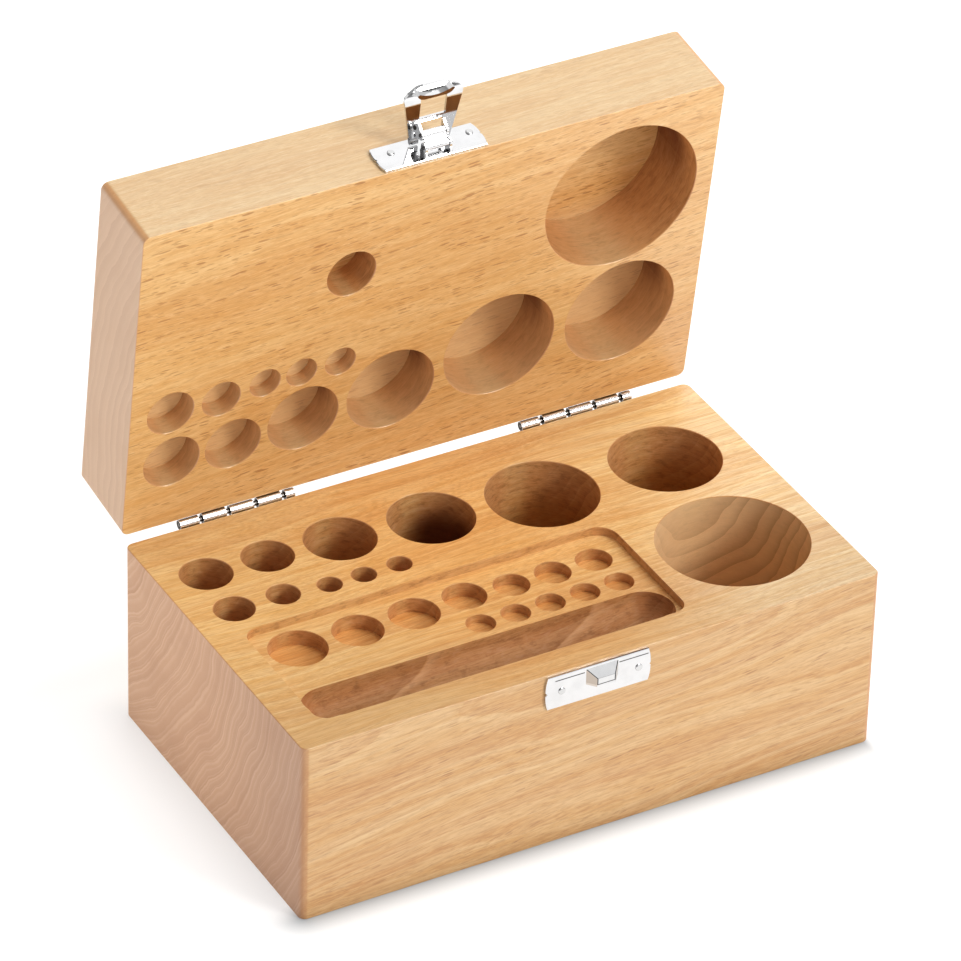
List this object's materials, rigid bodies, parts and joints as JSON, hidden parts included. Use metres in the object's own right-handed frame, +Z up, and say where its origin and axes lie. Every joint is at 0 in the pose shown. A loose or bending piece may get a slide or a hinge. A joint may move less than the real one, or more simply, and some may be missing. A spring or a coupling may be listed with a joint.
{
  "type": "weight set case",
  "caption": "Hinged wooden block case for laboratory weights: bored pockets, milligram tray and tweezers trough below, matching pockets in the lid, front hasp latch.",
  "frame": {"origin": "middle of the base block's underside", "axes": "+X along the length to the right seen from the front, -Y to the front with the latch, +Z up"},
  "size_m": [0.16, 0.1221, 0.1649],
  "materials": {
    "beech": "satin clear varnish",
    "bright_plate": "bright nickel plated sheet steel",
    "nail_steel": "bright nickel plated nail heads",
    "pin_steel": "drawn steel wire"
  },
  "bodies": {
    "base": {"base_block": "beech", "hinge_left_base_leaf": "bright_plate", "hinge_left_pin": "pin_steel", "hinge_left_base_nails": "nail_steel", "hinge_right_base_leaf": "bright_plate", "hinge_right_pin": "pin_steel", "hinge_right_base_nails": "nail_steel", "keeper_plate": "bright_plate", "keeper_nails": "nail_steel"},
    "lid": {"lid_block": "beech", "hinge_left_lid_leaf": "bright_plate", "hinge_left_lid_nails": "nail_steel", "hinge_right_lid_leaf": "bright_plate", "hinge_right_lid_nails": "nail_steel", "latch_plate": "bright_plate", "latch_plate_nails": "nail_steel", "latch_plate_pin": "pin_steel"},
    "link": {"latch_link": "bright_plate"},
    "hasp": {"latch_hasp": "bright_plate", "latch_hasp_pin": "pin_steel"}
  },
  "joints": [
    {"name": "lid_hinge", "type": "hinge", "parent": "base", "child": "lid", "pos_m": [0, 0.04895, 0.05105], "axis": [1, 0, 0], "range_deg": [0, 82.16]},
    {"name": "latch_link_pivot", "type": "hinge", "parent": "lid", "child": "link", "pos_m": [0, 0.03838, 0.14943], "axis": [1, 0, 0], "range_deg": [-5, 8]},
    {"name": "latch_hasp_pivot", "type": "hinge", "parent": "link", "child": "hasp", "pos_m": [0, 0.04016, 0.15189], "axis": [1, 0, 0], "range_deg": [0, 100]}
  ]
}
